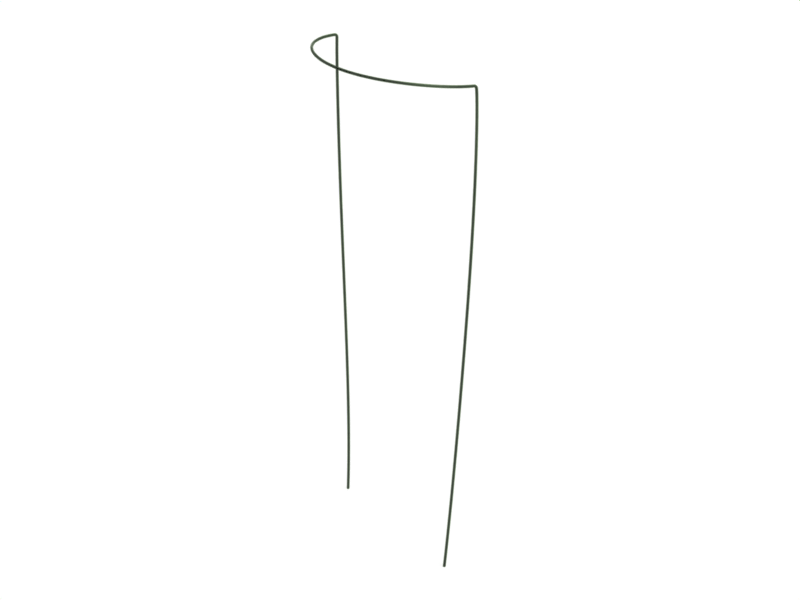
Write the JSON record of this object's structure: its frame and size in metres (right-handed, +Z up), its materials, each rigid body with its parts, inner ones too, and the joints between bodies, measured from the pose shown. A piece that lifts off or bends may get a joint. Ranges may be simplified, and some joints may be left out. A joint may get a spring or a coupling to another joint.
{
  "type": "half-round plant support",
  "caption": "Half-round garden plant support of one plastic-coated steel wire: a half-circle hoop on long legs that push into the soil.",
  "frame": {"origin": "centre of the object's base rectangle, at the height of the lowest edge of the legs' cut ends", "axes": "+Z up along the legs, +X from the left leg to the right leg, the hoop bulges towards -Y"},
  "size_m": [0.3192, 0.182, 0.942],
  "materials": {
    "steel": "bright drawn wire, sheared square at the cut ends",
    "green_plastic": "satin dark olive green, smooth extruded jacket"
  },
  "bodies": {
    "root": {"steel_wire": "steel", "green_coating": "green_plastic"}
  },
  "joints": []
}
